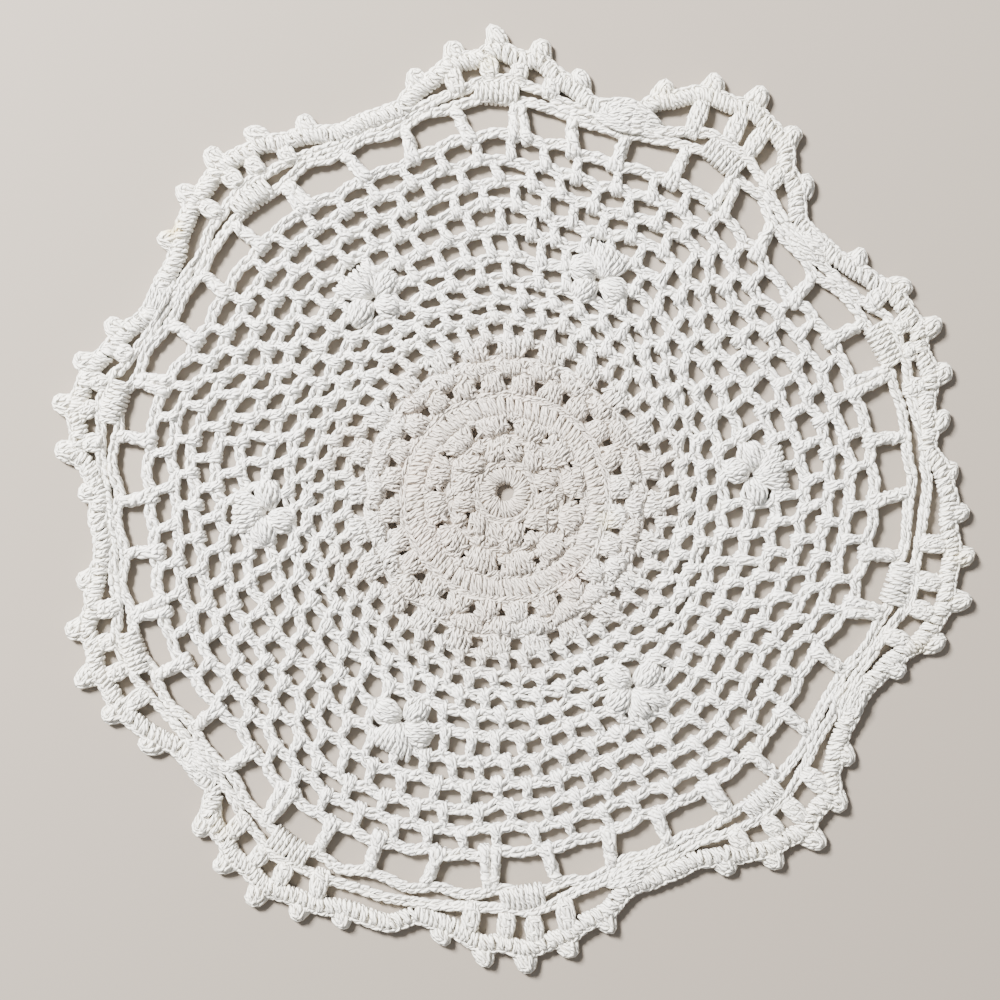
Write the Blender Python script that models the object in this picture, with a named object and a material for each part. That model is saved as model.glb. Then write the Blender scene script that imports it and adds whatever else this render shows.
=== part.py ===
"""Round crocheted table doily, lying flat.

One sheet of looped cotton: a close centre, a net ground with six raised
flowers, a round of large open arches and an edge of ten uneven scallops
with five picots each.  The sheet lies on z = 0 and the middle of its
bounding box is the origin.  Yarn, stitches and the small mesh are fine
surface and are not part of this solid.
"""
import math

import bmesh
import bpy
from mathutils import Matrix, Vector

MM = 0.001

# --- driving sizes ---
SHEET_THICKNESS = 2.0 * MM
CENTRE_HOLE_RADIUS = 1.8 * MM
CENTRE_HOLE_RISE = 1.3 * MM      # the eye sits a little above the middle of the rounds

ARCH_COUNT = 40
ARCH_PHASE_DEG = 4.0
ARCH_WIDTH = 9.6 * MM            # along the round
ARCH_HEIGHT = 7.4 * MM           # across the round
ARCH_POINTS = 12

PICOTS_PER_SCALLOP = 5
PICOT_HEIGHT = 3.2 * MM
PICOT_BASE_HALF_WIDTH = 2.5 * MM
PICOT_TIP_HALF_WIDTH = 1.1 * MM
PICOT_SHOULDER = 0.7 * MM

# Each scallop of the edge, counter-clockwise.  Angles in degrees, lengths in mm.
# middle: direction of its middle picot      tip: radius of that picot's tip
# pitch: angle between its picots            fall_cw, fall_ccw: how much lower its end picots are
# valley: radius of the dip after it         arch: radius of the open arches inside it
SCALLOP_COLUMNS = ("middle", "tip", "pitch", "fall_cw", "fall_ccw", "valley", "arch")
SCALLOP_ROWS = (
    (22.0, 121.3, 6.0, 4.0, 8.0, 106.0, 96.8),
    (57.5, 125.2, 5.6, 10.5, 9.0, 105.5, 97.2),
    (91.0, 121.6, 5.5, 9.0, 8.0, 105.0, 97.0),
    (130.5, 118.6, 6.0, 6.2, 6.2, 106.0, 94.8),
    (168.0, 119.6, 5.7, 6.5, 8.5, 107.0, 96.6),
    (203.0, 121.0, 5.9, 7.8, 5.9, 108.0, 97.0),
    (238.0, 124.2, 5.3, 5.8, 4.5, 114.0, 99.0),
    (272.5, 122.9, 5.4, 5.4, 7.2, 108.0, 95.8),
    (312.0, 121.7, 5.5, 8.0, 8.4, 107.5, 95.4),
    (347.0, 123.0, 5.5, 9.9, 2.2, 115.0, 98.4),
)

# The six raised flowers: direction in degrees and distance from the centre in mm.
FLOWER_COLUMNS = ("angle", "radius")
FLOWER_ROWS = (
    (5.2, 63.7),
    (66.6, 62.9),
    (124.2, 62.9),
    (183.1, 63.0),
    (244.8, 63.5),
    (304.2, 60.7),
)
# The four puffs of one flower, mm: out from its middle, along the round, half sizes, height.
PUFF_COLUMNS = ("out", "along", "half_out", "half_along", "height")
PUFF_ROWS = (
    (3.6, 0.0, 3.6, 5.2, 1.5),
    (-0.6, 4.4, 2.4, 3.4, 1.7),
    (-0.6, -4.4, 2.4, 3.4, 1.7),
    (-4.0, 0.0, 2.6, 2.2, 1.3),
)

# Bunched stretches of the edging in the dips: direction, distance, half sizes, height.
FOLD_COLUMNS = ("angle", "radius", "half_out", "half_along", "height")
FOLD_ROWS = (
    (39.5, 103.0, 2.2, 6.0, 1.2),
    (72.5, 103.0, 3.2, 8.0, 1.7),
    (150.0, 103.5, 2.4, 6.5, 1.3),
    (221.0, 105.0, 2.2, 6.0, 1.2),
    (288.5, 103.0, 2.4, 6.0, 1.3),
    (330.0, 104.0, 2.2, 6.5, 1.3),
)

DOME_SEGMENTS = 14
DOME_RINGS = 8
COTTON_COLOUR = (0.80, 0.79, 0.76, 1.0)
COTTON_ROUGHNESS = 0.92


def rows(columns, table):
    """Yield each row of a table as a dictionary of its columns."""
    for row in table:
        yield dict(zip(columns, row))


def polar(angle_deg, radius):
    """Point at a direction and distance from the centre of the rounds."""
    angle = math.radians(angle_deg)
    return Vector((radius * math.cos(angle), radius * math.sin(angle), 0.0))


def clear_scene():
    for obj in list(bpy.data.objects):
        bpy.data.objects.remove(obj, do_unlink=True)


def new_collection(name):
    collection = bpy.data.collections.new(name)
    bpy.context.scene.collection.children.link(collection)
    return collection


def cotton_material():
    material = bpy.data.materials.new("bleached_cotton_yarn")
    material.use_nodes = True
    shader = material.node_tree.nodes["Principled BSDF"]
    shader.inputs["Base Color"].default_value = COTTON_COLOUR
    shader.inputs["Roughness"].default_value = COTTON_ROUGHNESS
    shader.inputs["Metallic"].default_value = 0.0
    return material


def picot_points(angle_deg, tip):
    """Six points of one picot, clockwise side first."""
    base = tip - PICOT_HEIGHT
    steps = (
        (-PICOT_BASE_HALF_WIDTH, base),
        (-PICOT_TIP_HALF_WIDTH - PICOT_SHOULDER, tip - PICOT_SHOULDER),
        (-PICOT_TIP_HALF_WIDTH, tip),
        (PICOT_TIP_HALF_WIDTH, tip),
        (PICOT_TIP_HALF_WIDTH + PICOT_SHOULDER, tip - PICOT_SHOULDER),
        (PICOT_BASE_HALF_WIDTH, base),
    )
    return [polar(angle_deg + math.degrees(side / tip), radius) for side, radius in steps]


def edge_outline():
    """The scalloped outline, counter-clockwise."""
    scallops = list(rows(SCALLOP_COLUMNS, SCALLOP_ROWS))
    reach = (PICOTS_PER_SCALLOP - 1) / 2
    points = []
    for index, scallop in enumerate(scallops):
        for number in range(PICOTS_PER_SCALLOP):
            step = number - reach
            fall = scallop["fall_ccw"] if step > 0 else scallop["fall_cw"]
            tip = (scallop["tip"] - fall * (step / reach) ** 2) * MM
            points += picot_points(scallop["middle"] + step * scallop["pitch"], tip)
        following = scallops[(index + 1) % len(scallops)]
        end = scallop["middle"] + reach * scallop["pitch"]
        start = following["middle"] - reach * following["pitch"]
        if start < end:
            start += 360.0
        for share in (0.32, 0.5, 0.68):
            dip = 1.2 * MM * abs(share - 0.5) / 0.18
            points.append(polar(end + (start - end) * share, scallop["valley"] * MM + dip))
    return points


def arch_radius(angle_deg):
    """Radius of the open arches, eased from each scallop's value to the next."""
    scallops = list(rows(SCALLOP_COLUMNS, SCALLOP_ROWS))
    for index, scallop in enumerate(scallops):
        following = scallops[(index + 1) % len(scallops)]
        span = (following["middle"] - scallop["middle"]) % 360.0
        offset = (angle_deg - scallop["middle"]) % 360.0
        if offset < span:
            ease = 0.5 - 0.5 * math.cos(math.pi * offset / span)
            return (scallop["arch"] + (following["arch"] - scallop["arch"]) * ease) * MM
    raise ValueError("the scallops do not cover the round")


def arch_outline(angle_deg):
    """One open arch: a rounded opening, longer along the round than across it."""
    centre = polar(angle_deg, arch_radius(angle_deg))
    turn = Matrix.Rotation(math.radians(angle_deg), 3, "Z")
    points = []
    for number in range(ARCH_POINTS):
        angle = 2.0 * math.pi * (number + 0.5) / ARCH_POINTS
        across = math.copysign(abs(math.cos(angle)) ** 0.7, math.cos(angle)) * ARCH_HEIGHT / 2
        along = math.copysign(abs(math.sin(angle)) ** 0.7, math.sin(angle)) * ARCH_WIDTH / 2
        points.append(centre + turn @ Vector((across, along, 0.0)))
    return points


def ring_outline(centre, radius, count):
    step = 2.0 * math.pi / count
    return [
        centre + radius * Vector((math.cos(step * k), math.sin(step * k), 0.0))
        for k in range(count)
    ]


def flat_sheet(name, outlines, collection):
    """Fill the outlines as one flat 2D curve, extrude it and weld it to a mesh object."""
    curve = bpy.data.curves.new(name + "_outline", "CURVE")
    curve.dimensions = "2D"
    curve.fill_mode = "BOTH"
    curve.extrude = SHEET_THICKNESS / 2
    for outline in outlines:
        spline = curve.splines.new("POLY")
        spline.points.add(len(outline) - 1)
        for spline_point, point in zip(spline.points, outline):
            spline_point.co = (point.x, point.y, 0.0, 1.0)
        spline.use_cyclic_u = True
    guide = bpy.data.objects.new(name + "_guide", curve)
    collection.objects.link(guide)
    evaluated = guide.evaluated_get(bpy.context.evaluated_depsgraph_get())
    mesh = bpy.data.meshes.new_from_object(evaluated)
    bpy.data.objects.remove(guide, do_unlink=True)
    welded = bmesh.new()
    welded.from_mesh(mesh)
    bmesh.ops.remove_doubles(welded, verts=welded.verts, dist=0.00001)
    bmesh.ops.translate(welded, verts=welded.verts, vec=(0.0, 0.0, SHEET_THICKNESS / 2))
    bmesh.ops.recalc_face_normals(welded, faces=welded.faces)
    welded.to_mesh(mesh)
    welded.free()
    mesh.name = name
    sheet = bpy.data.objects.new(name, mesh)
    collection.objects.link(sheet)
    return sheet


def dome(name, angle_deg, radius, out, along, size, collection):
    """A low rounded swelling, half sunk in the sheet's upper face."""
    mesh = bpy.data.meshes.new(name)
    shape = bmesh.new()
    bmesh.ops.create_uvsphere(
        shape, u_segments=DOME_SEGMENTS, v_segments=DOME_RINGS, radius=1.0)
    bmesh.ops.scale(shape, verts=shape.verts, vec=size)
    bmesh.ops.translate(shape, verts=shape.verts, vec=(radius + out, along, SHEET_THICKNESS))
    turn = Matrix.Rotation(math.radians(angle_deg), 3, "Z")
    bmesh.ops.rotate(shape, verts=shape.verts, cent=(0.0, 0.0, 0.0), matrix=turn)
    shape.to_mesh(mesh)
    shape.free()
    obj = bpy.data.objects.new(name, mesh)
    collection.objects.link(obj)
    obj.hide_render = True
    obj.display_type = "WIRE"
    return obj


def raised_shapes(collection):
    """The flower puffs and the bunched edging, as domes to be joined to the sheet."""
    domes = []
    for flower_number, flower in enumerate(rows(FLOWER_COLUMNS, FLOWER_ROWS)):
        for puff_number, puff in enumerate(rows(PUFF_COLUMNS, PUFF_ROWS)):
            size = (puff["half_out"] * MM, puff["half_along"] * MM, puff["height"] * MM)
            domes.append(dome(
                f"flower_{flower_number}_puff_{puff_number}", flower["angle"],
                flower["radius"] * MM, puff["out"] * MM, puff["along"] * MM, size, collection))
    for fold_number, fold in enumerate(rows(FOLD_COLUMNS, FOLD_ROWS)):
        size = (fold["half_out"] * MM, fold["half_along"] * MM, fold["height"] * MM)
        domes.append(dome(
            f"edge_fold_{fold_number}", fold["angle"], fold["radius"] * MM,
            0.0, 0.0, size, collection))
    return domes


def join_domes(sheet, domes):
    """Union every dome into the sheet, one exact Boolean each."""
    for shape in domes:
        union = sheet.modifiers.new("join_" + shape.name, "BOOLEAN")
        union.operation = "UNION"
        union.solver = "EXACT"
        union.object = shape


def centre_on_box(objects, points):
    """Move every mesh so that the middle of the outline's box is the origin."""
    low = Vector((min(p.x for p in points), min(p.y for p in points), 0.0))
    high = Vector((max(p.x for p in points), max(p.y for p in points), 0.0))
    shift = Matrix.Translation(-(low + high) / 2)
    for obj in objects:
        obj.data.transform(shift)


def build_doily():
    parts = new_collection("lace_doily")
    cutters = new_collection("joining_shapes")
    outline = edge_outline()
    arches = [
        arch_outline(ARCH_PHASE_DEG + 360.0 / ARCH_COUNT * k) for k in range(ARCH_COUNT)
    ]
    eye = ring_outline(Vector((0.0, CENTRE_HOLE_RISE, 0.0)), CENTRE_HOLE_RADIUS, 16)
    doily = flat_sheet("doily", [outline, eye] + arches, parts)
    domes = raised_shapes(cutters)
    centre_on_box([doily] + domes, outline)
    join_domes(doily, domes)
    doily.data.materials.clear()
    doily.data.materials.append(cotton_material())


clear_scene()
build_doily()
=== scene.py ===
# %% [markdown]
# # A crocheted table doily, stitch by stitch
#
# A doily has no cloth in it apart from one long yarn. Every hole, ridge and petal is that yarn
# going over and under itself, so a flat sheet with a picture of lace on it looks wrong as soon as
# light comes from the side. Here the doily is made the way it is worked: from the eye outwards,
# round after round, each stitch a few short lengths of yarn laid as smooth lines.
#
# The frame gives the size and place. Everything below is in millimetres on the table, and turns to
# metres only when a round is finished and becomes a mesh.

# %% The frame, and the tools of this lesson
import math
import random

import bmesh
import bpy
import numpy as np
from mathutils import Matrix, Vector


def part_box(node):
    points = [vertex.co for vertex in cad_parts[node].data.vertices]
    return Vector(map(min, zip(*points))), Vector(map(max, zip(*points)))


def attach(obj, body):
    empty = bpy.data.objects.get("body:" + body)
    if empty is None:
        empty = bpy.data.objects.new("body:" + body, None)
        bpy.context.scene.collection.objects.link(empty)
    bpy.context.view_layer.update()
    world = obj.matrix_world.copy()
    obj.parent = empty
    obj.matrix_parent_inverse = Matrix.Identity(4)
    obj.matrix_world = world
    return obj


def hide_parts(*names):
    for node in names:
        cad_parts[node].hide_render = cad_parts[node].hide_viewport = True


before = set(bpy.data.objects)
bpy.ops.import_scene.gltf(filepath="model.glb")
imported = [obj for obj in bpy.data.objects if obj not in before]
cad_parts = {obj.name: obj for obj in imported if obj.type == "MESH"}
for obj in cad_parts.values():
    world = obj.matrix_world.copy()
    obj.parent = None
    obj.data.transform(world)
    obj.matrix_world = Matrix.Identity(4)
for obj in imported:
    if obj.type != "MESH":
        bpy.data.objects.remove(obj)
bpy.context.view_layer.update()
low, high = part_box("doily")
MM = 0.001
BOX_MIDDLE = np.array([(low[0] + high[0]) / 2, (low[1] + high[1]) / 2]) / MM
CENTRE = BOX_MIDDLE + np.array([-2.2, 0.6])     # the rounds are worked a little off the box's middle
chance = random.Random(24)
print("doily box, mm:", [round((b - a) / MM, 1) for a, b in zip(low, high)])

# %% [markdown]
# ## The camera first
#
# A flat thing is looked at from straight above. A normal lens from about a third of a metre keeps
# the edge from leaning outwards, as a wide one would.

# %% Camera
CAMERA_HEIGHT = 0.361
VIEW_OFFSET = (-3.6, 0.0)                       # mm, the doily lies a little right of the middle
camera_data = bpy.data.cameras.new("overhead_camera")
camera_data.lens = 50.0
camera_data.sensor_width = 36.0
camera = bpy.data.objects.new("overhead_camera", camera_data)
camera.location = ((BOX_MIDDLE[0] + VIEW_OFFSET[0]) * MM, (BOX_MIDDLE[1] + VIEW_OFFSET[1]) * MM,
                   CAMERA_HEIGHT)
bpy.context.scene.collection.objects.link(camera)
bpy.context.scene.camera = camera
print("camera stands", CAMERA_HEIGHT, "m above the table")

# %% [markdown]
# ## How uneven the work lies
#
# Hand crochet that was washed and patted flat never lies as a true circle. The ten scallops pull
# the rounds outwards at their crowns, and the dips between them draw in. One table holds that:
# each scallop's direction, where its open arches and its border run, how far its picots reach, and
# the same for the dip that follows it. Between the rows the values are eased, so the whole net
# follows the edge softly.

# %% The ten scallops
SCALLOP_COLUMNS = ("middle", "tip", "pitch", "fall_cw", "fall_ccw", "shell", "petals", "arch", "border",
                   "dip_arch", "dip_border", "dip_edge")
SCALLOP_ROWS = (
    (22.0, 121.3, 6.0, 4.0, 8.0, -0.2, -0.2, 98.4, 104.6, 93.9, 98.3, 104.2),
    (57.5, 125.2, 5.6, 10.5, 9.0, -0.2, -0.9, 97.6, 103.4, 94.4, 98.8, 103.9),
    (91.0, 121.6, 5.5, 9.0, 8.0, 0.3, -0.7, 98.2, 103.2, 94.6, 99.0, 103.6),
    (130.5, 118.6, 6.0, 6.2, 6.2, -0.1, -1.5, 95.4, 100.2, 93.3, 97.8, 104.0),
    (168.0, 119.6, 5.7, 6.5, 8.5, -1.7, -1.9, 98.0, 102.4, 95.7, 100.0, 105.0),
    (203.0, 121.0, 5.9, 7.8, 5.9, -0.4, -0.7, 97.8, 102.2, 96.2, 100.6, 106.0),
    (238.0, 124.2, 5.3, 5.8, 4.5, 0.2, -0.4, 99.8, 105.2, 98.3, 103.2, 111.6),
    (272.5, 122.9, 5.4, 5.4, 7.2, 0.0, -0.6, 95.9, 102.0, 94.6, 99.0, 105.8),
    (312.0, 121.7, 5.5, 8.0, 8.4, -1.6, -1.0, 96.2, 101.4, 93.9, 98.3, 105.2),
    (347.0, 123.0, 5.5, 9.9, 2.2, 0.6, -0.1, 98.0, 103.2, 100.1, 104.9, 112.6),
)
scallops = [dict(zip(SCALLOP_COLUMNS, row)) for row in SCALLOP_ROWS]
MEAN_ARCH = 96.7                                # the arches of an even doily
PICOT_HEIGHT = 3.7
EDGE_HALF_WIDTH = 2.1
WIDE_DIP = 110.0                                # two dips are so wide that the edging stands off there
LOOSE_KNOTS = [(253.6, 114.7), (258.4, 110.2), (3.0, 113.6), (7.8, 109.6)]


def dip_angle(index):
    """Direction of the dip after a scallop: half way between two end picots."""
    here, after = scallops[index], scallops[(index + 1) % len(scallops)]
    start = here["middle"] + 2 * here["pitch"]
    end = after["middle"] - 2 * after["pitch"]
    return start + ((end - start) % 360.0) / 2


def eased(knots, angle):
    """A value round the circle, eased between (angle, value) knots in order."""
    angle = angle % 360.0
    for (a0, v0), (a1, v1) in zip(knots, knots[1:] + knots[:1]):
        span = (a1 - a0) % 360.0
        offset = (angle - a0) % 360.0
        if offset < span:
            return v0 + (v1 - v0) * (0.5 - 0.5 * math.cos(math.pi * offset / span))
    return knots[0][1]


def ring_knots(at_crown, at_dip):
    knots = []
    for index, scallop in enumerate(scallops):
        knots.append((scallop["middle"] % 360.0, scallop[at_crown]))
        knots.append((dip_angle(index) % 360.0, scallop[at_dip]))
    return sorted(knots)


ARCH_KNOTS = ring_knots("arch", "dip_arch")
BORDER_KNOTS = ring_knots("border", "dip_border")


def smoothstep(value, start, end):
    share = min(1.0, max(0.0, (value - start) / (end - start)))
    return share * share * (3.0 - 2.0 * share)


def true_at(angle, radius, height=0.0):
    """The place of a direction and a real radius, with the small sway that no hand avoids."""
    turn = math.radians(angle)
    x, y = radius * math.cos(turn), radius * math.sin(turn)
    sway = smoothstep(radius, 6.0, 40.0)
    sway_x = 0.34 * math.sin(0.41 * y + 0.9) + 0.24 * math.sin(0.23 * x - 0.67 * y)
    sway_y = 0.34 * math.sin(0.37 * x + 2.1) + 0.24 * math.sin(0.71 * x + 0.29 * y)
    return np.array([CENTRE[0] + x + sway * sway_x, CENTRE[1] + y + sway * sway_y, height])


def at(angle, radius, height=0.0):
    """The place of a direction and an even radius, pulled as the net is."""
    pull = (eased(ARCH_KNOTS, angle) - MEAN_ARCH) * smoothstep(radius, 48.0, 82.0)
    return true_at(angle, radius + pull, height)


print("scallops:", len(scallops), " pull of the net at 38 degrees, mm:",
      round(eased(ARCH_KNOTS, 38.0) - MEAN_ARCH, 1))

# %% [markdown]
# ## Yarn
#
# The yarn is a plied cotton about a millimetre and a half thick. Each stitch needs only a few short
# lengths of it, so a skein here is a list of smooth lines. When a part of the doily is done, all
# its lines become splines of one curve with a round bevel, and that curve becomes one mesh. That is
# Blender's own way to sweep a tube, and it gives each tube a UV map: along it and around it. The
# map is then stretched to millimetres along the tube, so that the twist of the plies keeps its size
# on short and long stitches. Six sides and a few steps are enough, because a stitch is small and
# there are thousands of them.

# %% A skein and how it becomes a mesh
YARN = 0.74                                     # radius of the yarn in mm
SIDES_SETTING = 1                               # bevel resolution: six sides


def smooth(points, steps):
    """A smooth line through given points, as steps + 1 samples."""
    p = np.asarray(points, float)
    ends = np.vstack([2 * p[0] - p[1], p, 2 * p[-1] - p[-2]])
    t = np.linspace(0.0, len(p) - 1.0, steps + 1)
    i = np.minimum(t.astype(int), len(p) - 2)
    f = (t - i)[:, None]
    a, b, c, d = ends[i], ends[i + 1], ends[i + 2], ends[i + 3]
    return 0.5 * (2 * b + (c - a) * f + (2 * a - 5 * b + 4 * c - d) * f ** 2
                  + (3 * b - a - 3 * c + d) * f ** 3)


class Skein:
    """The lengths of yarn of one part of the doily."""

    def __init__(self, name):
        self.name = name
        self.lines = []

    def lay(self, points, steps=7, thick=1.0, ends=0.8, wander=0.10):
        """Lay one length of yarn; its ends are a little thinner, where it goes into the work."""
        points = [np.asarray(p, float) + [chance.uniform(-wander, wander) for _ in range(3)] for p in points]
        line = smooth(points, steps)
        thick *= YARN * chance.uniform(0.94, 1.06)
        beat = chance.uniform(0.0, 6.3) + np.arange(steps + 1) * 2.1
        radii = thick * (1.0 + 0.07 * np.sin(beat))
        if wander:
            run = line[-1] - line[0]
            aside = np.array([-run[1], run[0], 0.0]) / max(1e-6, math.hypot(run[0], run[1]))
            line += 0.09 * np.sin(beat * 0.7)[:, None] * aside
        radii[0] *= ends
        radii[-1] *= ends
        line[:, 2] = np.maximum(line[:, 2], radii)
        self.lines.append((line, radii))

    def to_mesh(self):
        """One curve with every line as a spline, made a mesh with welded ends."""
        curve = bpy.data.curves.new(self.name, "CURVE")
        curve.dimensions = "3D"
        curve.bevel_depth = 1.0
        curve.bevel_resolution = SIDES_SETTING
        curve.use_fill_caps = True
        for line, radii in self.lines:
            spline = curve.splines.new("POLY")
            spline.points.add(len(line) - 1)
            co = np.ones((len(line), 4))
            co[:, :3] = line
            spline.points.foreach_set("co", co.ravel())
            spline.points.foreach_set("radius", radii)
        guide = bpy.data.objects.new(self.name + "_guide", curve)
        bpy.context.scene.collection.objects.link(guide)
        evaluated = guide.evaluated_get(bpy.context.evaluated_depsgraph_get())
        mesh = bpy.data.meshes.new_from_object(evaluated)
        bpy.data.objects.remove(guide, do_unlink=True)
        bpy.data.curves.remove(curve)
        self.map_in_millimetres(mesh)
        welded = bmesh.new()
        welded.from_mesh(mesh)
        bmesh.ops.remove_doubles(welded, verts=welded.verts, dist=0.0005)
        bmesh.ops.scale(welded, verts=welded.verts, vec=(MM, MM, MM))
        welded.to_mesh(mesh)
        welded.free()
        mesh.shade_smooth()
        mesh.name = self.name
        piece = bpy.data.objects.new(self.name, mesh)
        bpy.context.scene.collection.objects.link(piece)
        print(self.name, "lengths:", len(self.lines), "triangles:",
              sum(len(p.vertices) - 2 for p in mesh.polygons))
        return piece

    def map_in_millimetres(self, mesh):
        """Stretch each tube's UV from 0..1 to its length in mm, with its own start."""
        corners = np.zeros(len(mesh.loops) * 2)
        layer = mesh.uv_layers[0]
        layer.data.foreach_get("uv", corners)
        corners = corners.reshape(-1, 2)
        sizes = np.zeros(len(mesh.polygons), int)
        mesh.polygons.foreach_get("loop_total", sizes)
        starts = np.zeros(len(mesh.polygons), int)
        mesh.polygons.foreach_get("loop_start", starts)
        quads = starts[sizes == 4]
        sides = 4 + 2 * SIDES_SETTING
        lengths, offsets = [], []
        for line, _ in self.lines:
            length = np.linalg.norm(np.diff(line, axis=0), axis=1).sum()
            count = (len(line) - 1) * sides
            lengths += [length] * count
            offsets += [chance.uniform(0.0, 40.0)] * count
        for corner in range(4):
            index = quads + corner
            corners[index, 0] = corners[index, 0] * np.array(lengths) + np.array(offsets)
        layer.data.foreach_set("uv", corners.ravel())


print("yarn radius, mm:", YARN)

# %% [markdown]
# ## Two stitches make nearly everything
#
# A **chain** is a row of teardrop loops, each drawn up through the last. From above it is a plait of
# Vs. A **post** is a treble: its feet go over the chain below, its body is two strands with a
# third slung round them, and its top hides under the next chain. A **bunch** is several legs side by
# side that share a foot or a head: fans, petals and puffs are all bunches of different spread.

# %% Chain
# One link: along it in link lengths, sideways in half widths, up in rises.
LINK_POINTS = (
    (-0.42, -0.10, -0.75), (0.02, -0.62, 0.45), (0.50, -1.00, 0.70), (0.92, -0.85, 0.10),
    (1.12, 0.0, -0.60),
    (0.92, 0.85, 0.10), (0.50, 1.00, 0.70), (0.02, 0.62, 0.45), (-0.42, 0.10, -0.75),
)


def flat_frame(start, end):
    """Along and across, flat on the table, from one place to another."""
    along = np.array([end[0] - start[0], end[1] - start[1], 0.0])
    length = max(1e-6, float(np.linalg.norm(along)))
    along /= length
    return along, np.array([-along[1], along[0], 0.0]), length


def chain(skein, line, links, half_width=0.78, rise=0.52, thick=0.95, roll=0.35, core=True):
    """A crochet chain of teardrop links along a smooth line, rolled a little about itself; the
    line's height is the chain's. A strand runs behind it, the back bumps of the links."""
    marks = smooth(line, links)
    turn = chance.uniform(-roll, roll)
    for start, end in zip(marks, marks[1:]):
        along, across, length = flat_frame(start, end)
        width = half_width * chance.uniform(0.92, 1.08)
        turn = 0.6 * turn + 0.6 * chance.uniform(-roll, roll)
        cos, sin = math.cos(turn), math.sin(turn)
        points = []
        for x, y, z in LINK_POINTS:
            side, up = y * width, z * rise
            points.append(start + along * (x * length) + across * (side * cos - up * sin)
                          + np.array([0.0, 0.0, side * sin + up * cos + (end[2] - start[2]) * x]))
        skein.lay(points, steps=10, thick=thick, ends=1.0, wander=0.05)
    if core:
        skein.lay([mark - [0, 0, 0.55] for mark in marks[::2]] + [marks[-1] - [0, 0, 0.55]],
                  steps=max(2, links), thick=1.05, wander=0.05)


# %% Bunch
def bunch(skein, foot, head, legs, foot_pitch, belly_pitch, head_pitch, heights=(0.9, 1.9, 2.0, 1.0),
          crown=0.35, thick=0.95, steps=7, sway=0.14):
    """Legs side by side from foot to head. The pitches are the gaps between legs at the foot, in the
    belly and at the head; crown is how much higher the middle legs lie than the outer ones."""
    along, across, length = flat_frame(foot, head)
    half = max(0.5, (legs - 1) / 2)
    for leg in range(legs):
        side = leg - (legs - 1) / 2
        arch = crown * (1.0 - (side / half) ** 2) if legs > 1 else crown
        bow = chance.uniform(-sway, sway)
        skein.lay((
            foot + across * side * foot_pitch + [0, 0, heights[0]],
            foot + along * length * 0.24 + across * (side * (foot_pitch + belly_pitch) / 2 + bow)
            + [0, 0, heights[1] + arch],
            foot + along * length * 0.52 + across * (side * belly_pitch - bow * 0.5)
            + [0, 0, (heights[1] + heights[2]) / 2 + arch * 1.25],
            foot + along * length * 0.80 + across * (side * (belly_pitch + head_pitch) / 2 - bow)
            + [0, 0, heights[2] + arch * 0.9],
            foot + along * length + across * side * head_pitch + [0, 0, heights[3]],
        ), steps=steps, thick=thick)


# %% Post
def post(skein, foot, head, spread=0.68, thick=0.96):
    """A treble from the chain below to the chain above. Its feet go over the chain like knuckles,
    its body is two strands that cross, with a third slung round them, and one strand behind."""
    along, across, length = flat_frame(foot, head)
    hand = chance.choice((-1.0, 1.0, 1.0))

    def spot(share, side, height):
        return foot + along * (share * length) + across * (side * hand * spread) + np.array([0, 0, height])

    under = -1.45 / length
    rise = 1.1 / length
    turn = chance.uniform(-0.25, 0.25)
    skein.lay([spot(under, -1.20, 0.7), spot(under * 0.4, -1.38, 2.3), spot(rise, -1.0, 2.3),
               spot(0.50, -0.35 + turn, 2.0), spot(0.78, 0.75, 1.9), spot(1.04, 0.85, 1.0)],
              steps=8, thick=thick)
    skein.lay([spot(under, 0.1, 0.7), spot(under * 0.4, 0.0, 2.55), spot(rise, 0.25, 2.4),
               spot(0.45, 0.95, 1.7), spot(0.75, 0.30, 1.2), spot(1.04, -0.60, 1.0)],
              steps=8, thick=thick)
    skein.lay([spot(under, 1.35, 0.7), spot(under * 0.4, 1.42, 2.25), spot(rise * 1.2, 1.0, 2.2),
               spot(0.42, 0.2 - turn, 2.45), spot(0.62, -0.85, 1.9), spot(0.70, -1.05, 0.9)],
              steps=8, thick=thick)
    skein.lay([spot(0.30, -1.0, 0.7), spot(0.55, -0.95, 1.5), spot(0.80, -0.55, 2.0), spot(1.05, 0.1, 1.2)],
              steps=5, thick=thick)
    skein.lay([spot(under, 0.2, 0.6), spot(0.1, -0.3, 0.62), spot(0.6, 0.3, 0.62),
               spot(1.05, 0.0, 0.65)], steps=3, thick=thick * 1.05)


print("stitches ready: chain, bunch, post")

# %% [markdown]
# ## The close centre
#
# The middle is worked solid. A ring of trebles stands round the eye, a second round sits on it in
# twelve blocks, a third opens twelve fans, and a plain round closes them. Two rounds of 24 small
# fans and one of 24 packed groups, with holes between them, lead over to the net. Every leg is
# there as yarn. A treble's yarn is slung round its leg, so short slanting strands cross the legs,
# and a chain of Vs, the stitches' own tops, closes most rounds.

# %% Centre
EYE_SHIFT = 1.3                                 # the eye sits this much above the rounds' middle
CENTRE_YARN = 0.80                              # the tight stitches here draw the yarn thinner
DEGREES = 360.0


def near_eye(angle, radius, height=0.0):
    """As at(), but the first rounds are centred on the eye."""
    place = at(angle, radius, height)
    place[1] += EYE_SHIFT * (1.0 - smoothstep(radius, 8.0, 26.0))
    return place


def ring_chain(skein, radius, links, height, where, half_width=0.62):
    """A closed round of chain tops."""
    line = [where(DEGREES * k / links, radius, height) for k in range(links + 1)]
    chain(skein, line, links, half_width=half_width, rise=0.42, thick=0.78, roll=0.3)


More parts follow.
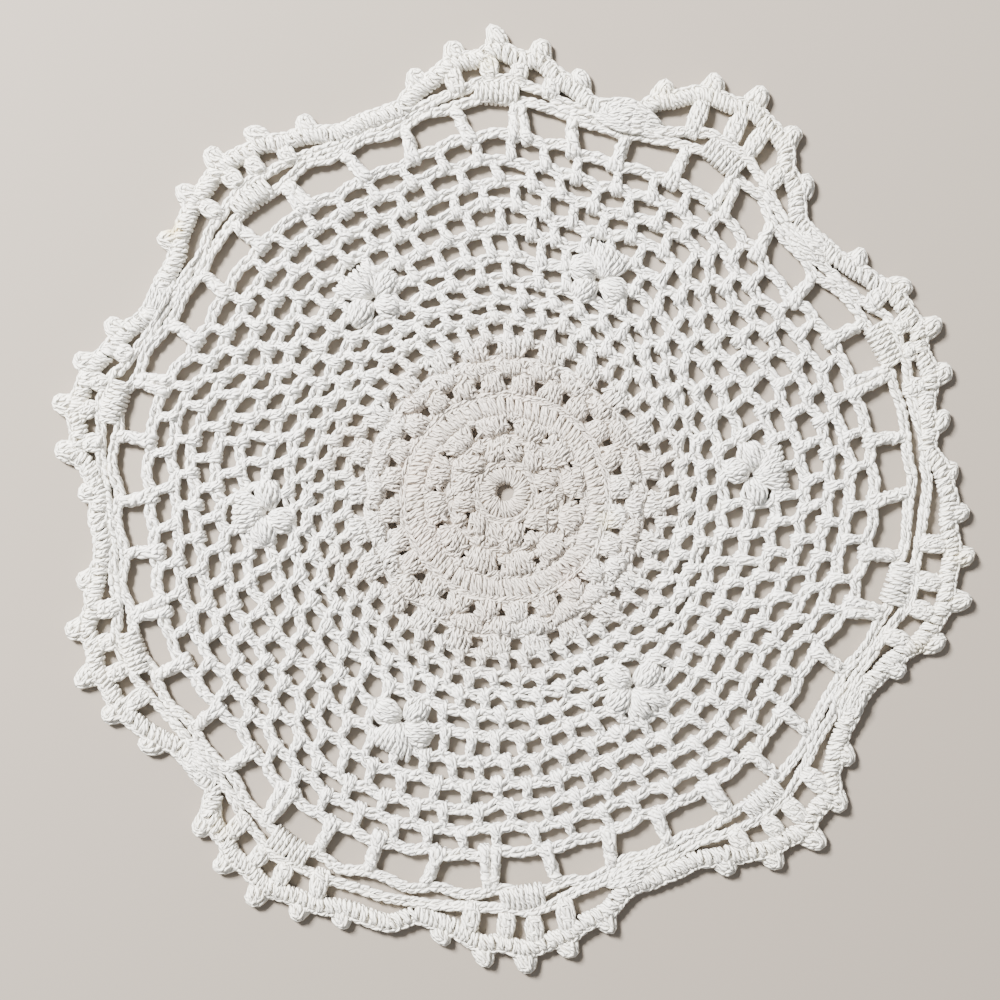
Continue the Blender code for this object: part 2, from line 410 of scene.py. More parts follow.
def backing(skein, inner, outer, pitch, where):
    """Rings of yarn at the back, the stitches' hidden strands, which close the work behind."""
    rings = int((outer - inner) / pitch) + 1
    for ring in range(rings):
        radius = inner + (outer - inner) * ring / max(1, rings - 1)
        line = [where(DEGREES * k / 36, radius, 0.55) for k in range(37)]
        skein.lay(line, steps=72, wander=0.0)


def cluster(skein, where, angle, inner, outer, legs, foot, belly, head, crown=0.5, slant=0.0):
    """A bunch of the centre: worked into one place, a little askew, with its legs packed close."""
    lean = chance.uniform(-1.0, 1.0) * 12.0 / max(inner, 6.0)
    start, end = where(angle - slant, inner), where(angle + slant + lean, outer)
    height = crown * chance.uniform(1.1, 1.8)
    bunch(skein, start, end, legs, foot, belly, head, heights=(0.9, 1.9, 2.1, 1.1), crown=height,
          thick=CENTRE_YARN, sway=0.30)
    along, aside, length = flat_frame(start, end)
    for share in (0.40, 0.76):
        for side in np.arange(-(legs - 2) / 2, legs / 2, 2.0):
            spot = start + along * (length * (share + chance.uniform(-0.09, 0.09)))
            spot = spot + aside * ((side + chance.uniform(-0.4, 0.4)) * (belly + head) / 2)
            top = 2.2 + height * (1.0 - (2 * side / legs) ** 2)
            turn = chance.choice((-1.0, 1.0)) * chance.uniform(0.5, 1.1)
            skein.lay([spot - aside * 1.1 - along * turn + [0, 0, top - 0.75], spot + [0, 0, top],
                       spot + aside * 1.1 + along * turn + [0, 0, top - 0.75]], steps=3, thick=CENTRE_YARN)


centre = Skein("close_centre")
# round 1: trebles round the eye
for k in range(40):
    angle = 9.0 * k + chance.uniform(-1.5, 1.5)
    reach = chance.uniform(6.3, 7.2)
    centre.lay([near_eye(angle, 2.6, 0.4), near_eye(angle, 2.75, 1.5), near_eye(angle, 4.4, 2.15),
                near_eye(angle + 2, 6.0, 2.0), near_eye(angle + 4, reach, 1.1)], steps=6, thick=0.68)
ring_chain(centre, 7.7, 20, 1.55, near_eye, half_width=0.55)
backing(centre, 3.4, 8.0, 1.1, near_eye)
# round 2: twelve leaning blocks, holes between their feet
for k in range(12):
    angle = 16.5 + 30.0 * k + chance.uniform(-2.0, 2.0)
    cluster(centre, near_eye, angle, 8.3, 13.4, 5, 0.8, 1.05, 1.0, slant=10.0 if k % 3 else -10.0)
    cluster(centre, near_eye, angle + 15.0, 11.8, 15.0, 3, 0.9, 1.1, 1.1, crown=0.3)
ring_chain(centre, 14.4, 34, 1.45, near_eye, half_width=0.58)
# round 3: twelve fans, holes between them
for k in range(12):
    angle = 10.5 + 30.0 * k + chance.uniform(-1.2, 1.2)
    cluster(centre, near_eye, angle, 14.6, 21.0, 8, 0.55, 1.02, 1.18)
    cluster(centre, near_eye, angle + 15.0, 19.6, 21.6, 3, 0.9, 1.0, 1.1, crown=0.2)
ring_chain(centre, 21.2, 52, 1.6, at, half_width=0.58)
# round 4: the plain round
for k in range(132):
    angle = DEGREES * k / 132 + chance.uniform(-0.5, 0.5)
    tilt = 1.2 + (0.5 if k % 2 else -0.5)
    centre.lay([at(angle, 20.9, 0.9), at(angle, 21.9, 2.25), at(angle + tilt * 0.6, 24.0, 2.15),
                at(angle + tilt, 25.9, 1.9), at(angle + tilt, 26.8, 1.0)], steps=5, thick=0.92)
ring_chain(centre, 26.6, 62, 1.75, at, half_width=0.6)
backing(centre, 12.6, 17.0, 1.1, at)
backing(centre, 20.6, 28.2, 1.15, at)
# round 5: 24 pointed fans with a small hole between each two
for k in range(24):
    angle = 5.8 + 15.0 * k + chance.uniform(-0.9, 0.9)
    cluster(centre, at, angle, 26.6, 32.6, 6, 1.12, 1.0, 0.75, crown=0.6)
# round 6: 24 spreading fans rooted in those holes
for k in range(24):
    angle = 13.0 + 15.0 * k + chance.uniform(-0.9, 0.9)
    cluster(centre, at, angle, 31.2, 35.8, 8, 0.7, 1.08, 1.16, crown=0.6)
ring_chain(centre, 32.0, 66, 1.35, at, half_width=0.5)
ring_chain(centre, 35.5, 76, 1.6, at, half_width=0.62)
backing(centre, 31.8, 36.2, 1.1, at)
# round 7: packed trebles, an open hole between each two groups
for k in range(24):
    angle = 12.0 + 15.0 * k + chance.uniform(-0.7, 0.7)
    cluster(centre, at, angle, 35.4, 41.4, 6, 1.05, 1.15, 1.3)
    centre.lay([at(angle - 5.0, 38.0, 0.7), at(angle, 38.3, 0.7), at(angle + 5.0, 38.0, 0.7)], steps=4)
centre_piece = centre.to_mesh()

# %% [markdown]
# ## The net
#
# The ground is a plain net of loops: a chain from post to post, and each post stands in the loop
# below. All posts lean the same way, and each round's posts stand a third to a half of a loop aside
# from those before, so the holes spiral. The first four rounds have 48 loops and the next five 60,
# which is what keeps the work flat as it grows.

# %% Net
NET_COLUMNS = ("round", "loops", "phase", "foot_radius", "head_radius", "lean", "links")
NET_ROWS = (
    (1, 48, 2.9, 40.8, 46.3, 1.6, 2),
    (2, 48, 0.5, 46.3, 51.2, 1.8, 2),
    (3, 48, 6.0, 51.2, 56.2, 1.8, 2),
    (4, 48, 3.0, 56.2, 61.9, 1.6, 3),
    (5, 60, 1.0, 61.9, 68.3, 0.9, 3),
    (6, 60, 4.0, 68.3, 74.5, 0.8, 3),
    (7, 60, 1.3, 74.5, 80.6, 0.8, 3),
    (8, 60, 4.7, 80.6, 86.3, 0.7, 3),
    (9, 60, 2.1, 86.3, 92.2, 0.7, 3),
)
net_rounds = [dict(zip(NET_COLUMNS, row)) for row in NET_ROWS]
FLOWER_ROWS = ((5.2, 63.7), (66.6, 62.9), (124.2, 62.9), (183.1, 63.0), (244.8, 63.5), (304.2, 60.7))
FLOWER_REACH = 5.2


def under_flower(place):
    """True where a raised flower takes the net's place."""
    return any(np.linalg.norm(place[:2] - at(angle, radius)[:2]) < FLOWER_REACH
               for angle, radius in FLOWER_ROWS)


def net_round(skein, row):
    """Posts from the loops below, and the chain from the top of one to the next."""
    step = DEGREES / row["loops"]
    tops = []
    for k in range(row["loops"]):
        middle = row["phase"] + step * (k + 0.5) + chance.uniform(-0.55, 0.55)
        foot = at(middle - row["lean"] / 2, row["foot_radius"] + 0.3)
        head = at(middle + row["lean"] / 2, row["head_radius"] - 0.55 + chance.uniform(-0.4, 0.4))
        tops.append(head)
        if not under_flower((foot + head) / 2):
            post(skein, foot, head)
    for k, top in enumerate(tops):
        after = tops[(k + 1) % len(tops)]
        out = (top + after) / 2 - np.array([CENTRE[0], CENTRE[1], 0.0])
        out /= np.linalg.norm(out)
        sway = out * (1.15 + chance.uniform(-0.45, 0.5))
        middle = (top + after) / 2 + sway
        if not under_flower(middle):
            chain(skein, [top + [0, 0, 1.45], middle + [0, 0, 1.55], after + [0, 0, 1.45]], row["links"],
                  half_width=0.88, rise=0.55, thick=1.02)


net_pieces = []
for name, rounds in (("net_inner_rounds", net_rounds[:4]), ("net_middle_rounds", net_rounds[4:7]),
                     ("net_outer_rounds", net_rounds[7:])):
    skein = Skein(name)
    if rounds[0]["round"] == 1:
        ring_chain(skein, 40.9, 90, 1.45, at, half_width=0.66)
    for row in rounds:
        net_round(skein, row)
    net_pieces.append(skein)

# %% [markdown]
# ## The raised flowers
#
# Six small flowers stand up from the net. Each is a wide outer fan and three puffs: many legs worked
# into one place and gathered at both ends, so they swell like a cushion.

# %% Flowers
PUFF_COLUMNS = ("foot_out", "foot_along", "head_out", "head_along", "legs", "foot_pitch", "belly",
                "head_pitch")
PUFF_ROWS = (
    (-0.2, 0.0, 8.0, 0.4, 9, 0.30, 1.15, 1.45),
    (-0.4, 1.0, -0.8, 8.6, 6, 0.50, 1.20, 0.55),
    (-0.6, -1.0, -1.4, -8.4, 6, 0.50, 1.20, 0.55),
    (-1.6, 0.8, -8.0, 2.4, 6, 0.50, 1.15, 0.70),
)
flowers = Skein("raised_flowers")
for angle, radius in FLOWER_ROWS:
    middle = at(angle, radius)
    turn = math.radians(angle + chance.uniform(-12.0, 12.0))
    hand = chance.choice((-1.0, 1.0))
    outward = np.array([math.cos(turn), math.sin(turn), 0.0])
    beside = hand * np.array([-outward[1], outward[0], 0.0])
    for row in PUFF_ROWS:
        puff = dict(zip(PUFF_COLUMNS, row))
        foot = middle + outward * puff["foot_out"] + beside * puff["foot_along"]
        head = middle + outward * puff["head_out"] + beside * puff["head_along"]
        bunch(flowers, foot, head, puff["legs"], puff["foot_pitch"], puff["belly"], puff["head_pitch"],
              heights=(1.2, 2.4, 2.5, 0.9), crown=1.1, thick=0.92, steps=8, sway=0.32)
        bunch(flowers, foot, head, 4, 0.4, 1.2, 0.8, heights=(0.7, 0.9, 0.9, 0.7), crown=0.2, steps=4)
flower_piece = flowers.to_mesh()

# %% [markdown]
# ## The open arches and the border
#
# Forty tall posts carry the border chain, with the largest gaps of the doily between them. Most
# posts are single, and every fourth is a V of two, as the hook went into one loop or two.

# %% Arches and border
ARCH_COUNT = 40
ARCH_PHASE = 4.0
POST_ROOT = 92.3                                # radius where the posts of an even doily stand
BORDER_LINKS = 232
BORDER_BOW = 0.45                               # mm, how far the border bows out over an arch
# how many degrees the posts stand off an even round, by direction
POST_DRIFT_KNOTS = [
    (0.0, 0.8), (10.0, 0.2), (28.0, -0.6), (45.0, 0.1), (72.0, 0.0), (89.0, -1.6), (107.0, -2.5),
    (117.0, -2.1), (126.0, -0.6), (140.0, 0.1), (180.0, 0.6), (193.0, -0.1), (210.0, 0.7),
    (235.0, -0.2), (253.0, -1.7), (270.0, -1.8), (290.0, -1.0), (315.0, -0.5), (323.0, -1.2),
    (334.0, 0.8), (350.0, 1.1),
]
border = net_pieces[2]                          # the same skein goes on


def tall_post(skein, foot, head, spread):
    """A tall post: thick legs over a core, with the yarn slantwise round them near each end."""
    post(skein, foot, head, spread=spread, thick=1.22)
    skein.lay([foot + [0, 0, 1.1], (foot + head) / 2 + [0, 0, 1.1], head + [0, 0, 1.1]],
              steps=4, thick=1.5)
    along, aside, length = flat_frame(foot, head)
    half_width = spread + 0.45
    for share in (0.30, 0.72):
        slant = chance.choice((-1.0, 1.0)) * chance.uniform(0.9, 1.4)
        middle = foot + along * (length * (share + chance.uniform(-0.08, 0.08)))
        skein.lay([middle + aside * side * half_width + along * side * slant + [0, 0, lift]
                   for side, lift in ((-1.0, 0.75), (-0.6, 1.9), (0.0, 2.55), (0.6, 1.9), (1.0, 0.75))],
                  steps=7, thick=1.12)


for k in range(ARCH_COUNT):
    middle = ARCH_PHASE + DEGREES / ARCH_COUNT * (k + 0.5)
    middle += eased(POST_DRIFT_KNOTS, middle) + chance.uniform(-0.2, 0.2)
    edge = eased(BORDER_KNOTS, middle)
    root = eased(ARCH_KNOTS, middle) - MEAN_ARCH + POST_ROOT
    lean = chance.uniform(-0.5, 0.9)
    if k % 4 == 1:
        for side in (-1.0, 1.0):
            foot = true_at(middle + side * 1.0, root)
            head = true_at(middle + lean + side * 0.4, edge - 0.3)
            tall_post(border, foot, head, 0.55)
    else:
        foot = true_at(middle - lean, root)
        head = true_at(middle + lean, edge - 0.3)
        tall_post(border, foot, head, 0.95)


def border_radius(angle):
    """The border chain bows out over each arch and is held in at each post."""
    bow = BORDER_BOW * math.cos(math.radians(ARCH_COUNT * (angle - ARCH_PHASE)))
    return eased(BORDER_KNOTS, angle) + bow


border_line = [true_at(1.5 * k, border_radius(1.5 * k), 1.35) for k in range(241)]
chain(border, border_line, BORDER_LINKS, half_width=0.80, rise=0.5, thick=1.0, roll=0.6)
outer_piece = border.to_mesh()
inner_piece = net_pieces[0].to_mesh()
middle_piece = net_pieces[1].to_mesh()

# %% [markdown]
# ## The scallops
#
# On the border chain each scallop has one packed shell of trebles. A second chain runs from its
# shoulders to the dips, four petals fan out from there, and the edging goes over their heads: a
# close row of short stitches round a chain, with a picot, a tiny knot of three chains, at every
# pitch.


# %% Where the edging runs
def edge_knots():
    """The middle line of the edging: under each picot, a little slack between them, and through
    the dips, whose floors are flat and whose ends are steep."""
    knots = []
    for index, scallop in enumerate(scallops):
        levels = []
        for number in range(5):
            step = number - 2
            fall = scallop["fall_ccw"] if step > 0 else scallop["fall_cw"]
            tip = scallop["tip"] - fall * (step / 2) ** 2
            levels.append(tip - PICOT_HEIGHT - EDGE_HALF_WIDTH)
            knots.append(((scallop["middle"] + step * scallop["pitch"]) % 360.0, levels[-1]))
            if number:
                slack = chance.uniform(0.0, 1.3)
                knots.append(((scallop["middle"] + (step - 0.5) * scallop["pitch"]) % 360.0,
                              (levels[-1] + levels[-2]) / 2 - slack))
        end = scallop["middle"] + 2 * scallop["pitch"]
        reach = dip_angle(index) - end
        if scallop["dip_edge"] < WIDE_DIP:
            for share, lift in ((0.45, 0.4), (1.0, 0.0), (1.55, 0.4)):
                knots.append(((end + reach * share) % 360.0, scallop["dip_edge"] + lift))
    return sorted(knots + LOOSE_KNOTS)


EDGE_KNOTS = edge_knots()
EDGE_STEP = 1.5
edge_line = [true_at(EDGE_STEP * k, eased(EDGE_KNOTS, EDGE_STEP * k), 1.5) for k in range(240)]
edge_line.append(edge_line[0])


def line_length(line):
    return float(sum(np.linalg.norm(b - a) for a, b in zip(line, line[1:])))


print("edging length, mm:", round(line_length(edge_line)))

# %% Shells and petals
SHELL_LEGS = 9
SHELL_REACH = 3.7                               # degrees from a shell's middle to its shoulder
SECOND_LINK = 2.75                              # mm, one link of the second chain
PETAL_OFFSETS = (-6.7, -2.0, 1.8, 6.6)          # degrees from the petals' middle
# a strand slung over a petal: how far to the side, and how high in mm
PETAL_WRAP = ((-1.0, 0.9), (-0.6, 2.2), (0.0, 3.0), (0.6, 2.2), (1.0, 0.9))
scallop_skein = Skein("shells_and_petals")
for index, scallop in enumerate(scallops):
    middle = scallop["middle"] + scallop["shell"]
    root = eased(BORDER_KNOTS, middle)
    bunch(scallop_skein, true_at(middle, root - 1.7), true_at(middle, root + 4.6), SHELL_LEGS,
          1.25, 1.28, 1.34, crown=0.4, heights=(0.8, 2.7, 2.2, 1.1), thick=0.84)
    bunch(scallop_skein, true_at(middle, root - 0.6), true_at(middle, root + 5.0), 7, 1.5, 1.5, 1.6,
          crown=0.0, heights=(0.6, 0.6, 0.6, 0.6), steps=3)
    top = [true_at(middle + a, root + 5.0 - 0.06 * a * a, 1.8) for a in (-3.8, -1.9, 0.0, 1.9, 3.8)]
    chain(scallop_skein, top, 5, half_width=0.7)
    for offset in PETAL_OFFSETS:
        angle = scallop["middle"] + scallop["petals"] + offset + chance.uniform(-0.2, 0.2)
        outer = abs(offset) > 5.0
        foot = true_at(angle - offset * 0.02, eased(BORDER_KNOTS, angle) + (2.4 if outer else 4.6))
        head = true_at(angle + offset * 0.02, eased(EDGE_KNOTS, angle) - 1.0)
        bunch(scallop_skein, foot, head, 4, 0.75, 1.20, 0.65, crown=0.4,
              heights=(1.1, 2.3, 2.3, 1.2), steps=8, thick=0.98, sway=0.3)
        bunch(scallop_skein, foot, head, 3, 0.6, 1.2, 0.6, crown=0.0,
              heights=(0.6, 0.6, 0.6, 0.6), steps=4)
        along, aside, length = flat_frame(foot, head)
        for share in (0.3, 0.62):
            belly = foot + along * (length * (share + chance.uniform(-0.08, 0.08)))
            scallop_skein.lay([belly + aside * side * 2.1 + along * side * 1.1 + [0, 0, lift]
                               for side, lift in PETAL_WRAP],
                              steps=8, thick=0.95)
for index, scallop in enumerate(scallops):
    after = scallops[(index + 1) % len(scallops)]
    start = scallop["middle"] + scallop["shell"] + SHELL_REACH
    end = after["middle"] + after["shell"] - SHELL_REACH
    span = (end - start) % 360.0
    line = []
    for share in (0.0, 0.12, 0.25, 0.4, 0.5, 0.6, 0.75, 0.88, 1.0):
        angle = start + span * share
        lift = 2.5 + 1.8 * abs(2 * share - 1) ** 3
        if scallop["dip_edge"] > WIDE_DIP:
            lift += 1.9 * math.sin(math.pi * share)
        line.append(true_at(angle, eased(BORDER_KNOTS, angle) + lift + chance.uniform(-0.4, 0.4), 1.5))
    links = int(line_length(line) / SECOND_LINK)
    chain(scallop_skein, line, links, half_width=0.78, thick=1.0, roll=0.6)
# where the edging bunches up in a dip, its strands cross over each other
FOLD_COLUMNS = ("angle", "radius", "half_length", "strands", "height")
FOLD_ROWS = (
    (39.5, 103.0, 6.0, 3, 2.6), (72.5, 103.2, 8.0, 5, 3.0), (150.0, 103.5, 6.5, 3, 2.6),
    (221.0, 105.0, 6.0, 3, 2.6), (288.5, 103.0, 6.5, 3, 2.6), (330.0, 104.0, 6.5, 3, 2.6),
)
for row in FOLD_ROWS:
    fold = dict(zip(FOLD_COLUMNS, row))
    reach = math.degrees(fold["half_length"] / fold["radius"])
    for strand in range(fold["strands"]):
        side = (strand - (fold["strands"] - 1) / 2) * 1.7
        swap = chance.uniform(-1.0, 1.0)
        line = []
        for share in (-1.0, -0.5, 0.0, 0.5, 1.0):
            radius = fold["radius"] + side * (1 - 0.5 * share ** 2) + swap * share
            height = fold["height"] - 1.2 * share ** 2 + 0.3 * math.sin(3 * share + strand)
            line.append(true_at(fold["angle"] + share * reach, radius, height))
        chain(scallop_skein, line, 5, half_width=0.55, thick=0.85, core=False)
scallop_piece = scallop_skein.to_mesh()

# %% [markdown]
# ## Edging and picots
#
# The edging is short stitches worked close together over a thick core, two in each pitch, each a
# little askew. A small chain of Vs, their tops, runs along the outer side. A picot is a few chains
# closed back on themselves. Here it is three nested loops and a strand through the middle.

# %% Edging and picots
STITCH_PITCH = 2.35


def along_line(line, spacing):
    """Even places along a line, about spacing apart."""
    line = np.array(line)
    steps = np.linalg.norm(np.diff(line, axis=0), axis=1)
    reach = np.concatenate([[0.0], np.cumsum(steps)])
    count = int(reach[-1] / spacing)
    places = np.linspace(0.0, reach[-1], count + 1)[:-1]
    return [np.array([np.interp(p, reach, line[:, axis]) for axis in range(3)]) for p in places]


edging = Skein("picot_edging")
places = along_line(edge_line, STITCH_PITCH)
for k, place in enumerate(places):
    along, inward, length = flat_frame(place, places[(k + 1) % len(places)])
    for part in (0.0, 0.5):
        foot = place + along * (part * length)
        slant = along * (chance.uniform(0.1, 0.7) + (0.3 if part else 0.0))
        edging.lay([foot + inward * 1.2 - [0, 0, 0.85], foot + inward * 2.0,
                    foot + slant * 0.4 + inward * 1.45 + [0, 0, 0.95],
                    foot + slant + [0, 0, 1.35],
                    foot + slant * 1.3 - inward * 1.2 + [0, 0, 0.6],
                    foot + slant * 1.3 - inward * 1.7 - [0, 0, 0.6]], steps=7, thick=0.88)
rim = [place - flat_frame(place, places[(k + 1) % len(places)])[1] * 1.35 + [0, 0, 0.15]
       for k, place in enumerate(places)]
rim.append(rim[0])
chain(edging, rim, len(places), half_width=0.62, rise=0.35, thick=0.88, roll=0.5)
edging.lay([p - [0, 0, 0.6] for p in edge_line[::3]], steps=320, thick=1.3, wander=0.0)


def picot(skein, angle, base_radius, height):
    """A knot of three chains: nested loops that stand out from the edging, closed in the middle."""
    base = true_at(angle, base_radius)
    out, side, _ = flat_frame(base, true_at(angle, base_radius + 5.0))
    tilt = side * chance.uniform(-0.9, 0.9)
    for shorter, width, lift in ((0.5, 2.05, 1.3), (1.2, 1.15, 2.2), (1.1, 1.0, 0.8)):
        reach = height - shorter
        skein.lay([base - side * width * 1.35 - out * 1.3 + [0, 0, lift - 0.3],
                   base - side * width * 1.1 + out * reach * 0.25 + [0, 0, lift],
                   base - side * width * 0.60 + out * reach * 0.88 + tilt + [0, 0, lift + 0.1],
                   base + side * width * 0.60 + out * reach * 0.95 + tilt + [0, 0, lift + 0.1],
                   base + side * width * 1.1 + out * reach * 0.25 + [0, 0, lift],
                   base + side * width * 1.35 - out * 1.3 + [0, 0, lift - 0.3]], steps=9)
    skein.lay([base - side * 1.2 - out * 0.9 + [0, 0, 1.5], base + out * 0.4 + [0, 0, 2.6],
               base + side * 0.5 + out * (height - 1.3) + tilt * 0.8 + [0, 0, 1.9]], steps=4)


LONE_PICOTS = ((3.0, 2.6),)                     # direction and height: a small one in a wide dip
picots = 0
for scallop in scallops:
    for number in range(5):
        angle = scallop["middle"] + (number - 2) * scallop["pitch"]
        picot(edging, angle, eased(EDGE_KNOTS, angle) + EDGE_HALF_WIDTH - 0.5,
              PICOT_HEIGHT + (0.8 if number == 2 else 0.3))
        picots += 1
for angle, height in LONE_PICOTS:
    picot(edging, angle, eased(EDGE_KNOTS, angle) + EDGE_HALF_WIDTH - 0.7, height)
    picots += 1
edging_piece = edging.to_mesh()
print("picots:", picots)

# %% [markdown]
# ## The finish: plied cotton
#
# Cotton yarn for a doily is several fine plies twisted together. It has no gloss, and each ply
# throws a thread of shade on the next. The twist is drawn along the yarn's own UV map, in
# millimetres, as bump and as a darker groove. It is drawn a little coarser than real plies, which
# would be too fine to show. An old doily isn't one white either: the tint goes by the distance from
# the middle, and a few soft stains lie over it.


# %% Material helpers
def colour(hex_text):
    """sRGB hex to linear RGBA."""
    channels = [int(hex_text[k:k + 2], 16) / 255 for k in (1, 3, 5)]
    linear = [c / 12.92 if c <= 0.04045 else ((c + 0.055) / 1.055) ** 2.4 for c in channels]
    return (*linear, 1.0)


def add_node(tree, kind, links=None, **settings):
    """Add a node, set its properties and inputs, and link the inputs that are given as sockets."""
    node = tree.nodes.new(kind)
    for key, value in settings.items():
        if key.startswith("in_"):
            name = key[3:]
            socket = node.inputs[int(name)] if name.isdigit() else node.inputs[name.replace("_", " ")]
            socket.default_value = value
        else:
            setattr(node, key, value)
    for name, source in (links or {}).items():
        tree.links.new(source, node.inputs[name])
    return node


# %% Cotton
PLIES = 3
PLY_PITCH = 2.1                                 # mm of yarn from one groove to the next
WOBBLE_CELLS = 420.0                            # noise cells in a metre: one in 2.4 mm
FIBRE_CELLS = 2600.0                            # one in 0.4 mm; real fibres are too fine to show
PATCH_CELLS = 60.0                              # one in 17 mm
GROOVE_WIDTH = 0.38                             # share of a ply's wave that lies in its groove
# painted shade: this colour is multiplied into the tint in each groove, standing in for the shade one ply
# throws on the next
GROOVE_PAINTED_SHADE = "#CCC6BE"                         # multiplies the tint in a groove
PLY_RELIEF = 0.0004                             # m
# from the middle, which has been handled most, out to the edge, which has yellowed
AGE_TINTS = ("#C8BDB0", "#D5CBBF", "#F1EEE7", "#F8F3E6")
AGE_STOPS = ((0.24, AGE_TINTS[1]), (0.42, AGE_TINTS[2]), (0.74, AGE_TINTS[2]))
AGE_REACH = (0.022, 0.142)                      # m from the middle, unevenness included
AGE_UNEVENNESS = 0.045                          # m
STAIN_COLUMNS = ("angle", "radius", "size", "tint", "strength")
STAIN_ROWS = (
    (141.2, 110.0, 4.5, "#E6D08A", 0.65),
    (92.1, 112.0, 4.0, "#E8DDA6", 0.45),
    (340.0, 114.0, 5.0, "#EBDDB0", 0.40),
    (229.5, 111.0, 6.0, "#EFE3C0", 0.35),
    (68.6, 112.0, 5.0, "#EFE3C0", 0.35),
    (352.0, 119.0, 5.0, "#EFE3BC", 0.35),
    (160.0, 25.0, 12.0, "#DDCBBB", 0.40),
    (205.0, 22.0, 9.0, "#E0CFC4", 0.35),
    (80.0, 27.0, 7.0, "#E0CEC0", 0.35),
    (310.0, 27.0, 6.0, "#DEC9BC", 0.45),
    (348.0, 27.0, 4.5, "#E6DDB9", 0.55),
    (135.0, 33.0, 6.0, "#DDCCBF", 0.35),
)


def age_tint(tree, where):
    """The white of the yarn by its distance from the middle, with the stains over it."""
    patches = add_node(tree, "ShaderNodeTexNoise", {"Vector": where}, in_Scale=PATCH_CELLS,
                       in_Detail=2.0)
    middle = [CENTRE[0] * MM, CENTRE[1] * MM, 0.0]
    distance = add_node(tree, "ShaderNodeVectorMath", {0: where}, operation="DISTANCE", in_1=middle)
    uneven = add_node(tree, "ShaderNodeMath", {0: patches.outputs["Fac"], 2: distance.outputs["Value"]},
                      operation="MULTIPLY_ADD", in_1=AGE_UNEVENNESS)
    share = add_node(tree, "ShaderNodeMapRange", {"Value": uneven.outputs[0]}, in_From_Min=AGE_REACH[0],
                     in_From_Max=AGE_REACH[1])
    tint = add_node(tree, "ShaderNodeValToRGB", {"Fac": share.outputs[0]})
    ramp = tint.color_ramp
    ramp.elements[0].position, ramp.elements[0].color = 0.0, colour(AGE_TINTS[0])
    ramp.elements[1].position, ramp.elements[1].color = 1.0, colour(AGE_TINTS[3])
    for position, hex_text in AGE_STOPS:
        ramp.elements.new(position).color = colour(hex_text)
    stained = tint.outputs["Color"]
    for row in STAIN_ROWS:
        stain = dict(zip(STAIN_COLUMNS, row))
        spot = [float(v) * MM for v in true_at(stain["angle"], stain["radius"], 2.0)]
        away = add_node(tree, "ShaderNodeVectorMath", {0: where}, operation="DISTANCE", in_1=spot)
        fade = add_node(tree, "ShaderNodeMapRange", {"Value": away.outputs["Value"]},
                        interpolation_type="SMOOTHSTEP", in_From_Max=stain["size"] * MM,
                        in_To_Min=stain["strength"], in_To_Max=0.0)
        spread = add_node(tree, "ShaderNodeMix", {"Factor": fade.outputs[0]}, data_type="RGBA")
        tree.links.new(stained, spread.inputs[6])
        spread.inputs[7].default_value = colour(stain["tint"])
        stained = spread.outputs[2]
    return stained


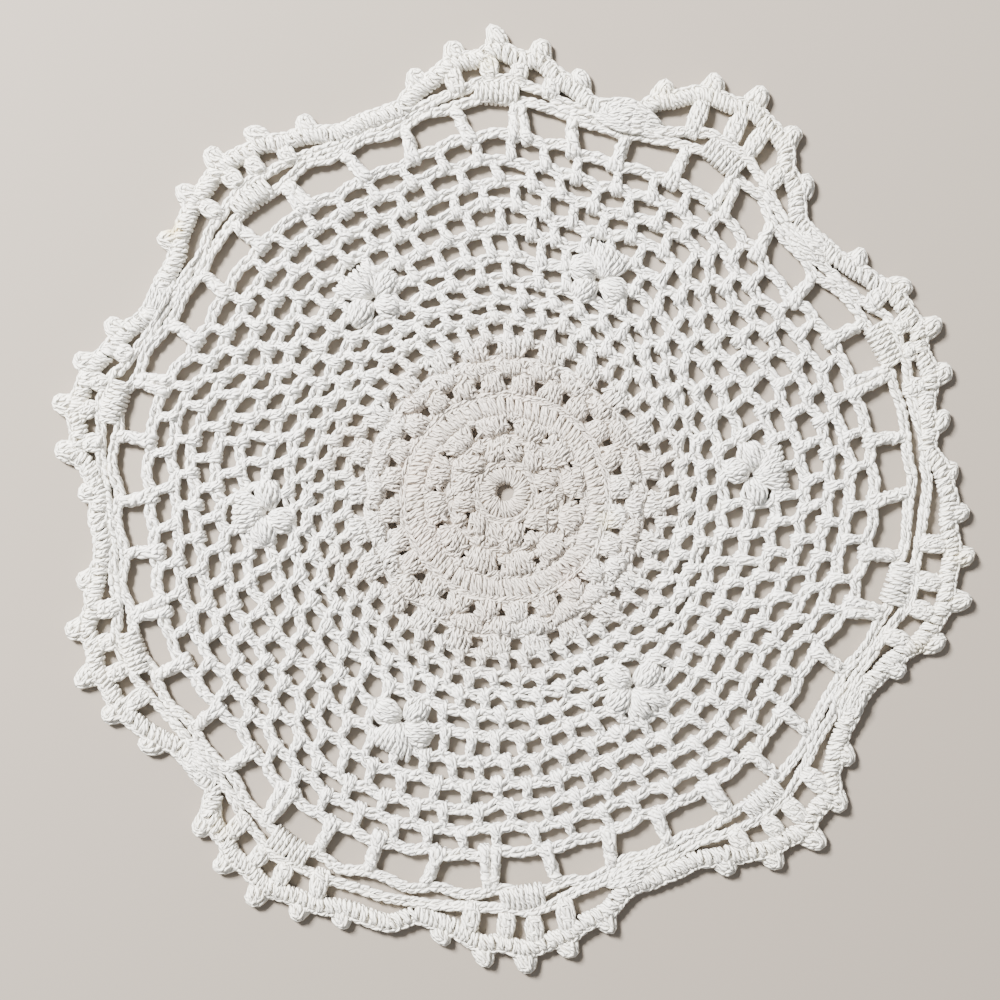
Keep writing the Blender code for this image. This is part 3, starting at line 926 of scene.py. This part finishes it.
def plied_cotton():
    """Matt, slightly downy cotton yarn with the grooves of its plies, drawn as bump and as painted shade."""
    material = bpy.data.materials.new("plied_cotton_yarn")
    material.use_nodes = True
    tree = material.node_tree
    shader = tree.nodes["Principled BSDF"]
    shader.inputs["Roughness"].default_value = 0.88
    shader.inputs["Specular IOR Level"].default_value = 0.25
    shader.inputs["Sheen Weight"].default_value = 0.12
    shader.inputs["Sheen Roughness"].default_value = 0.6
    uv = add_node(tree, "ShaderNodeUVMap", uv_map="UVMap")
    where = add_node(tree, "ShaderNodeTexCoord").outputs["Object"]
    # three plies climb round the yarn, and a wobble keeps their grooves from being ruled lines
    parts = add_node(tree, "ShaderNodeSeparateXYZ", {"Vector": uv.outputs["UV"]})
    along = add_node(tree, "ShaderNodeMath", {0: parts.outputs["X"]}, operation="MULTIPLY",
                     in_1=math.pi / PLY_PITCH)
    around = add_node(tree, "ShaderNodeMath", {0: parts.outputs["Y"]}, operation="MULTIPLY",
                      in_1=math.pi * PLIES)
    wobble = add_node(tree, "ShaderNodeTexNoise", {"Vector": where}, in_Scale=WOBBLE_CELLS,
                      in_Detail=1.0)
    straight = add_node(tree, "ShaderNodeMath", {0: along.outputs[0], 1: around.outputs[0]},
                        operation="ADD")
    phase = add_node(tree, "ShaderNodeMath", {0: wobble.outputs["Fac"], 2: straight.outputs[0]},
                     operation="MULTIPLY_ADD", in_1=6.0)
    wave = add_node(tree, "ShaderNodeMath", {0: phase.outputs[0]}, operation="SINE")
    ply = add_node(tree, "ShaderNodeMath", {0: wave.outputs[0]}, operation="ABSOLUTE")
    # painted shade: in each groove the tint is multiplied by the darker groove colour, most at the groove's
    # bottom
    painted_shade_share = add_node(tree, "ShaderNodeMapRange", {"Value": ply.outputs[0]}, in_From_Max=GROOVE_WIDTH,
                     in_To_Min=1.0, in_To_Max=0.0)
    painted_groove_shade = add_node(tree, "ShaderNodeMix", {"Factor": painted_shade_share.outputs[0]}, data_type="RGBA",
                      blend_type="MULTIPLY")
    tree.links.new(age_tint(tree, where), painted_groove_shade.inputs[6])
    painted_groove_shade.inputs[7].default_value = colour(GROOVE_PAINTED_SHADE)
    tree.links.new(painted_groove_shade.outputs[2], shader.inputs["Base Color"])
    fibre = add_node(tree, "ShaderNodeTexNoise", {"Vector": where}, in_Scale=FIBRE_CELLS,
                     in_Detail=2.0)
    height = add_node(tree, "ShaderNodeMath", {0: fibre.outputs["Fac"], 2: ply.outputs[0]},
                      operation="MULTIPLY_ADD", in_1=0.35)
    bump = add_node(tree, "ShaderNodeBump", {"Height": height.outputs[0]}, in_Strength=1.0,
                    in_Distance=PLY_RELIEF)
    tree.links.new(bump.outputs["Normal"], shader.inputs["Normal"])
    return material


cotton = plied_cotton()
pieces = [outer_piece, centre_piece, inner_piece, middle_piece, flower_piece, scallop_piece, edging_piece]
for piece in pieces:
    piece.data.materials.clear()
    piece.data.materials.append(cotton)
    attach(piece, "root")
    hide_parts("doily")
print("pieces of yarn:", len(pieces))

# %% [markdown]
# ## The table and the light
#
# White cotton on a pale table shows only by its shades. One soft lamp stands to the side, high
# enough to reach into the holes and low enough that every strand throws a small shadow, and an even
# pale sky fills those shadows a little.

# %% The table and the light
FLOOR_SIZE = 60.0                               # m, so that its edge is out of every view
bpy.ops.mesh.primitive_plane_add(size=FLOOR_SIZE, location=(0.0, 0.0, -0.0001))
floor = bpy.context.object
floor.name = "table_top"
floor_material = bpy.data.materials.new("matte_pale_table")
floor_material.use_nodes = True
floor_shader = floor_material.node_tree.nodes["Principled BSDF"]
floor_shader.inputs["Base Color"].default_value = colour("#8F8579")
floor_shader.inputs["Roughness"].default_value = 0.9
floor.data.materials.append(floor_material)


def soft_light(name, place, size, power):
    """A square lamp that looks at the doily."""
    data = bpy.data.lights.new(name, "AREA")
    data.size = size
    data.energy = power
    lamp = bpy.data.objects.new(name, data)
    lamp.location = place
    lamp.rotation_euler = (-lamp.location).to_track_quat("-Z", "Y").to_euler()
    bpy.context.scene.collection.objects.link(lamp)
    return lamp


lamp = soft_light("window_light", (-0.62, 0.60, 0.75), 0.26, 84.0)
world = bpy.data.worlds.new("studio")
world.use_nodes = True
world.node_tree.nodes["Background"].inputs["Color"].default_value = colour("#F2F4F8")
world.node_tree.nodes["Background"].inputs["Strength"].default_value = 0.52
bpy.context.scene.world = world
print("lamp from the doily, m:", round(lamp.location.length, 2))

# %% [markdown]
# ## The cloth's size
#
# The doily is worked to its shape, so its flat size is the size it has. Its holes hold no yarn, so
# the area, in square metres as seen from above, is well under that of a full round.

length = (high[1] - low[1])
